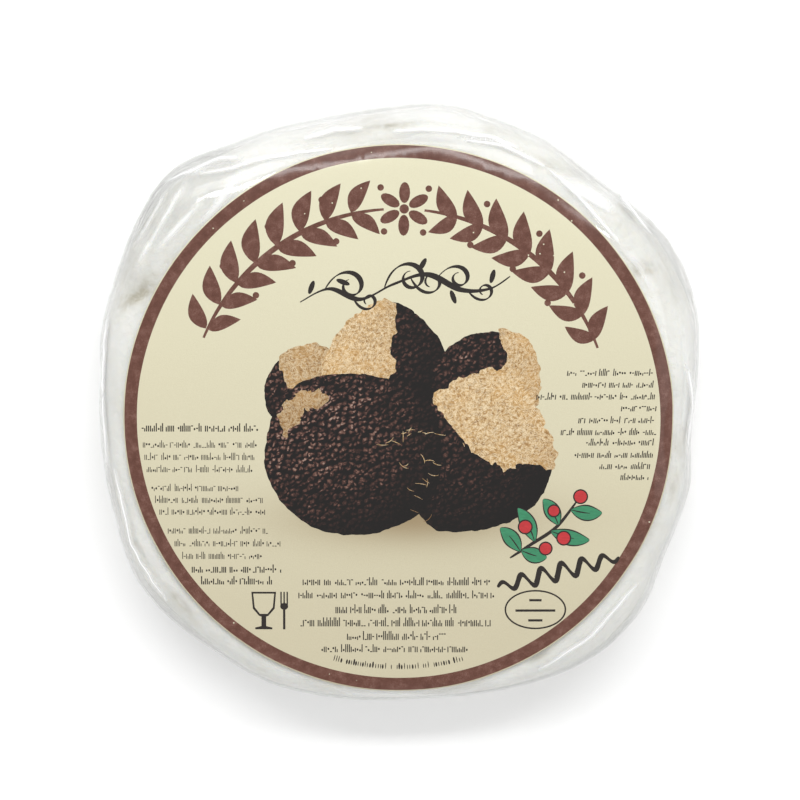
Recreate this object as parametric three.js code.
// A soft-ripened cheese wheel, wrapped in clear film, with a round paper label stuck on top.
// Millimetres, +Z up. The wheel lies flat with its film on the Z = 0 plane, the label reads
// upright towards +Y, and the origin is on that plane under the middle of the wheel.
import * as THREE from "three";

// Bare cheese
const CHEESE_RADIUS = 63.6; // mean radius where the wheel is widest
const CHEESE_HEIGHT = 27; // underside to the rim of the flat top
const TOP_CROWN = 0.6; // how far the middle of the top stands above its rim
const TOP_SHOULDER_INSET = 8.5; // mean width of the rounding at the top edge
const TOP_SHOULDER_LEAN = 3.5; // the rounding is this much wider at +Y and narrower at -Y
const TOP_SHOULDER_DROP = 9; // height of the same rounding
const BOTTOM_SHOULDER_INSET = 6; // width of the rounding at the lower edge
const BOTTOM_SHOULDER_RISE = 8; // height of the same rounding
const SIDE_BULGE = 0.9; // how far the middle of the side stands out from the shoulders

// The wheel isn't truly round: each row adds so many lobes, so high, the first one so turned.
const OUTLINE_LOBES = [
  { count: 2, height: 0.6, turn: 155 },
  { count: 4, height: 1.5, turn: 43 },
  { count: 5, height: 0.5, turn: 14 },
  { count: 6, height: 0.6, turn: 20 },
  { count: 8, height: 0.35, turn: 32 },
];

// Shallow dents in the rind of the side: direction, height above the underside, depth, width.
const RIND_DENTS = [
  { turn: 98, height: 19, depth: 0.9, width: 8 },
  { turn: 156, height: 20, depth: 1.0, width: 7 },
  { turn: 196, height: 15, depth: 0.7, width: 9 },
  { turn: 222, height: 18, depth: 0.8, width: 10 },
  { turn: 27, height: 20, depth: 1.0, width: 7 },
  { turn: 345, height: 14, depth: 0.7, width: 9 },
  { turn: 300, height: 12, depth: 0.6, width: 8 },
];

// Clear film
const FILM_WALL = 0.3; // thickened, so that the film is a solid that can be meshed
const FILM_CLEARANCE = 0.3; // from the rind to the inside of the film
const FILM_OPENING_RADIUS = 3; // where the gathered film ends meet under the wheel
const GATHER_RADIUS = 22; // the pleats under the wheel run out to here
const GATHER_LIFT = 0.6; // how far the gathered film stands clear of the table
const PLEAT_HEIGHT = 0.5; // ridge to furrow, at the opening
const PLEAT_COUNT = 18;

// Corners where the film bridges from top to side and stands off the cheese.
const FILM_POUCHES = [
  { turn: 134, reach: 2.2, width: 11 },
  { turn: 30, reach: 1.2, width: 13 },
  { turn: 216, reach: 0.6, width: 16 },
  { turn: 318, reach: 0.9, width: 14 },
];

// Paper label
const LABEL_RADIUS = 57.5;
const LABEL_THICKNESS = 0.25;
const LABEL_CLEARANCE = 0.3; // from the outside of the film to the underside of the paper
const LABEL_OFFSET_X = 0.3; // the label is stuck on a little off centre
const LABEL_OFFSET_Y = -1.1;

// Fineness of the meshes
const STEPS_AROUND = 72;
const SHOULDER_STEPS = 5;
const SIDE_STEPS = 3;
const TOP_RINGS = [0.94, 0.7, 0.36]; // shares of the flat top's radius
const GATHER_RINGS = [0, 0.5, 1]; // from the opening to the edge of the gather
const LABEL_INNER_RINGS = [0.3, 0.6]; // shares of the label's flat middle
const LABEL_EDGE_WIDTH = 20; // the outer part of the label, which may bend
const LABEL_EDGE_STEPS = 16;
const LAYING_STEP = 0.02; // how finely the label is laid over the film

const FILM_SKIN = FILM_CLEARANCE + FILM_WALL;
const CHEESE_BASE = FILM_SKIN; // height of the cheese's underside above the table
const GATHER_CEILING = CHEESE_BASE + FILM_WALL / 2; // only the underside lies lower than this

const radians = THREE.MathUtils.degToRad;

/** Signed angle from one direction to another, in degrees, between -180 and 180. */
function turnBetween(angle, turn) {
  const difference = THREE.MathUtils.radToDeg(angle) - turn;
  return THREE.MathUtils.euclideanModulo(difference + 180, 360) - 180;
}

/** A smooth hump that is 1 at zero distance and fades out over the given width. */
function hump(distance, width) {
  return Math.exp(-((distance / width) ** 2));
}

/** How far the outline stands out from a true circle in one direction. */
function outlineBulge(angle) {
  return OUTLINE_LOBES.reduce(
    (sum, lobe) => sum + lobe.height * Math.cos(lobe.count * (angle - radians(lobe.turn))),
    0,
  );
}

/** How far the film stands off the cheese in one direction, beyond its clearance. */
function pouchReach(angle) {
  return FILM_POUCHES.reduce(
    (sum, pouch) => sum + pouch.reach * hump(turnBetween(angle, pouch.turn), pouch.width),
    0,
  );
}

/** How far the rind is pushed in by the dents at one direction and height. */
function dentDepth(angle, height) {
  return RIND_DENTS.reduce((sum, dent) => {
    const along = radians(turnBetween(angle, dent.turn)) * CHEESE_RADIUS;
    return sum + dent.depth * hump(along, dent.width) * hump(height - dent.height, dent.width);
  }, 0);
}

/** Width of the rounding at the top edge in one direction. */
function topInset(angle) {
  return TOP_SHOULDER_INSET + TOP_SHOULDER_LEAN * Math.sin(angle);
}

/** Share of the gather's lift at a distance from the middle: 1 at the opening, 0 outside. */
function gatherShare(radius) {
  const across = (GATHER_RADIUS - radius) / (GATHER_RADIUS - FILM_OPENING_RADIUS);
  return THREE.MathUtils.clamp(across, 0, 1);
}

/** Height of the pleats' ridges over the gather in one direction. */
function pleatShare(angle) {
  return (1 + Math.cos(PLEAT_COUNT * angle)) / 2;
}

/** Share of the outline's lobes that a point takes: none in the middle, all of it at the side. */
function lobeShare(radius) {
  return Math.min((radius / CHEESE_RADIUS) ** 2, 1);
}

/**
 * A point on a skin that lies `skin` outside the rind, as radius, height and share of the
 * lobes. The run goes from the middle of the top (0) over the top edge (1), the head (2) and
 * the foot (3) of the side to the lower edge (4).
 */
function skinPoint(angle, run, skin) {
  const inset = topInset(angle);
  const upperEdge = CHEESE_RADIUS - inset;
  const lowerEdge = CHEESE_RADIUS - BOTTOM_SHOULDER_INSET;
  const topHeight = CHEESE_BASE + CHEESE_HEIGHT;
  const headHeight = topHeight - TOP_SHOULDER_DROP;
  const footHeight = CHEESE_BASE + BOTTOM_SHOULDER_RISE;
  if (run < 1) {
    const radius = upperEdge * run;
    const crown = TOP_CROWN * (1 - run * run);
    return { radius, height: topHeight + skin + crown, lobes: lobeShare(radius) };
  }
  if (run < 2) {
    const turn = (Math.PI / 2) * (run - 1);
    return {
      radius: upperEdge + (inset + skin) * Math.sin(turn),
      height: headHeight + (TOP_SHOULDER_DROP + skin) * Math.cos(turn),
      lobes: lobeShare(upperEdge + inset * Math.sin(turn)),
    };
  }
  if (run < 3) {
    return {
      radius: CHEESE_RADIUS + skin + SIDE_BULGE * Math.sin(Math.PI * (run - 2)),
      height: THREE.MathUtils.lerp(headHeight, footHeight, run - 2),
      lobes: 1,
    };
  }
  const turn = (Math.PI / 2) * (run - 3);
  return {
    radius: lowerEdge + (BOTTOM_SHOULDER_INSET + skin) * Math.cos(turn),
    height: footHeight - (BOTTOM_SHOULDER_RISE + skin) * Math.sin(turn),
    lobes: lobeShare(lowerEdge + BOTTOM_SHOULDER_INSET * Math.cos(turn)),
  };
}

/** Runs from the lower edge up the side and in over the top, where the skins have rings. */
function ringRuns() {
  const runs = [];
  for (let i = 0; i < SHOULDER_STEPS; i++) {
    runs.push(4 - i / SHOULDER_STEPS);
  }
  for (let i = 0; i < SIDE_STEPS; i++) {
    runs.push(3 - i / SIDE_STEPS);
  }
  for (let i = 0; i < SHOULDER_STEPS; i++) {
    runs.push(2 - i / SHOULDER_STEPS);
  }
  return [...runs, 1, ...TOP_RINGS];
}

/** Side view of a skin in one direction, from the opening under the wheel to the top. */
function sideView(angle, skin) {
  const underside = GATHER_RINGS.map((share) => {
    const radius = THREE.MathUtils.lerp(FILM_OPENING_RADIUS, GATHER_RADIUS, share);
    return { radius, height: CHEESE_BASE - skin, lobes: lobeShare(radius) };
  });
  return [...underside, ...ringRuns().map((run) => skinPoint(angle, run, skin))];
}

/** Height of the middle of the top, on a skin that lies `skin` outside the rind. */
function topMiddle(skin) {
  return new THREE.Vector3(0, 0, CHEESE_BASE + CHEESE_HEIGHT + TOP_CROWN + skin);
}

/** Turns one list of points for each direction into rings of points around the axis. */
function ringsAround(pointsAt) {
  const columns = Array.from({ length: STEPS_AROUND }, (_, i) => {
    return pointsAt((2 * Math.PI * i) / STEPS_AROUND);
  });
  return columns[0].map((_, ring) => columns.map((column) => column[ring]));
}

/** A point at a direction, a distance from the axis and a height. */
function pointAt(angle, radius, height) {
  return new THREE.Vector3(radius * Math.cos(angle), radius * Math.sin(angle), height);
}

/** A closed surface from a first point, over rings of equally many points, to a last point. */
function closedSurface(first, rings, last) {
  const points = [first, ...rings.flat(), last];
  const lastIndex = points.length - 1;
  const index = (ring, step) => 1 + ring * STEPS_AROUND + (step % STEPS_AROUND);
  const faces = [];
  for (let step = 0; step < STEPS_AROUND; step++) {
    faces.push(0, index(0, step + 1), index(0, step));
    for (let ring = 0; ring < rings.length - 1; ring++) {
      const a = index(ring, step);
      const b = index(ring, step + 1);
      const c = index(ring + 1, step + 1);
      const d = index(ring + 1, step);
      faces.push(a, b, c, a, c, d);
    }
    const topRing = rings.length - 1;
    faces.push(index(topRing, step), index(topRing, step + 1), lastIndex);
  }
  const geometry = new THREE.BufferGeometry().setFromPoints(points);
  geometry.setIndex(faces);
  geometry.computeVertexNormals();
  return geometry;
}

/** The cheese itself: one solid, with dented sides and a slight hollow under the gather. */
function cheeseGeometry() {
  const hollow = (radius) => (GATHER_LIFT + PLEAT_HEIGHT) * gatherShare(radius);
  const rings = ringsAround((angle) => {
    return sideView(angle, 0).map(({ radius, height, lobes }) => {
      const dent = dentDepth(angle, height - CHEESE_BASE) * lobes;
      const lift = height < GATHER_CEILING ? hollow(radius) : 0;
      return pointAt(angle, radius + outlineBulge(angle) * lobes - dent, height + lift);
    });
  });
  const underside = new THREE.Vector3(0, 0, CHEESE_BASE + hollow(0));
  return closedSurface(underside, rings, topMiddle(0));
}

/** A point on a side of the film, or on what lies on it, from a point of its side view. */
function filmPoint(angle, { radius, height, lobes }) {
  return pointAt(angle, radius + (outlineBulge(angle) + pouchReach(angle)) * lobes, height);
}

/** One side of the film, as rings from the opening underneath to the top. */
function filmRings(skin) {
  return ringsAround((angle) => {
    const pleat = GATHER_LIFT + PLEAT_HEIGHT * pleatShare(angle);
    return sideView(angle, skin).map((point) => {
      const lift = point.height < GATHER_CEILING ? pleat * gatherShare(point.radius) : 0;
      return filmPoint(angle, { ...point, height: point.height + lift });
    });
  });
}

/** The film: a thin shell all round the cheese, open only where its pleats meet below. */
function filmGeometry() {
  const inside = filmRings(FILM_CLEARANCE).reverse();
  const outside = filmRings(FILM_SKIN);
  return closedSurface(topMiddle(FILM_CLEARANCE), [...inside, ...outside], topMiddle(FILM_SKIN));
}

/** The run at which a sheet laid over the film has come a distance from the middle. */
function runAt(angle, distance) {
  let before = filmPoint(angle, skinPoint(angle, 0, FILM_SKIN));
  let covered = 0;
  for (let run = LAYING_STEP; run < 4; run += LAYING_STEP) {
    const here = filmPoint(angle, skinPoint(angle, run, FILM_SKIN));
    const step = here.distanceTo(before);
    if (covered + step >= distance) {
      return run - LAYING_STEP * (1 - (distance - covered) / step);
    }
    covered += step;
    before = here;
  }
  return 4;
}

/** Where a point of the flat label comes to lie, at a height above the film. */
function labelPoint(x, y, above) {
  const angle = Math.atan2(y, x);
  const run = runAt(angle, Math.hypot(x, y));
  return filmPoint(angle, skinPoint(angle, run, FILM_SKIN + above));
}

/** Radii of the label's rings: few in its flat middle, closely spaced where it may bend. */
function labelRadii() {
  const middle = LABEL_RADIUS - LABEL_EDGE_WIDTH;
  const radii = LABEL_INNER_RINGS.map((share) => share * middle);
  for (let i = 0; i <= LABEL_EDGE_STEPS; i++) {
    radii.push(middle + (LABEL_EDGE_WIDTH * i) / LABEL_EDGE_STEPS);
  }
  return radii;
}

/** One face of the label, as rings that follow the film at a height above it. */
function labelRings(above) {
  return ringsAround((angle) => {
    return labelRadii().map((radius) => {
      const x = LABEL_OFFSET_X + radius * Math.cos(angle);
      const y = LABEL_OFFSET_Y + radius * Math.sin(angle);
      return labelPoint(x, y, above);
    });
  });
}

/** The label: a thin round sheet, laid over the film and bent down with its edge. */
function labelGeometry() {
  const upper = LABEL_CLEARANCE + LABEL_THICKNESS;
  const rings = [...labelRings(LABEL_CLEARANCE), ...labelRings(upper).reverse()];
  const lowerMiddle = labelPoint(LABEL_OFFSET_X, LABEL_OFFSET_Y, LABEL_CLEARANCE);
  const upperMiddle = labelPoint(LABEL_OFFSET_X, LABEL_OFFSET_Y, upper);
  return closedSurface(lowerMiddle, rings, upperMiddle);
}

/** A named mesh with its own material. */
function piece(name, geometry, finish) {
  const mesh = new THREE.Mesh(geometry, new THREE.MeshStandardMaterial(finish));
  mesh.name = name;
  return mesh;
}

const rindFinish = { color: 0xeeece4, roughness: 0.85, metalness: 0 };
const filmFinish = { color: 0xf6f7f6, roughness: 0.08, metalness: 0, transparent: true, opacity: 0.25 };
const paperFinish = { color: 0xe4dfc4, roughness: 0.45, metalness: 0 };

const film = piece("film_wrap", filmGeometry(), filmFinish);
const wheel = new THREE.Group();
wheel.add(piece("cheese_wheel", cheeseGeometry(), rindFinish));
wheel.add(film);
wheel.add(piece("paper_label", labelGeometry(), paperFinish));

// The uneven outline is moved so that the middle of its width and depth is over the origin.
const middleOfOutline = new THREE.Box3().setFromObject(film).getCenter(new THREE.Vector3());
wheel.position.set(-middleOfOutline.x, -middleOfOutline.y, 0);

export default wheel;
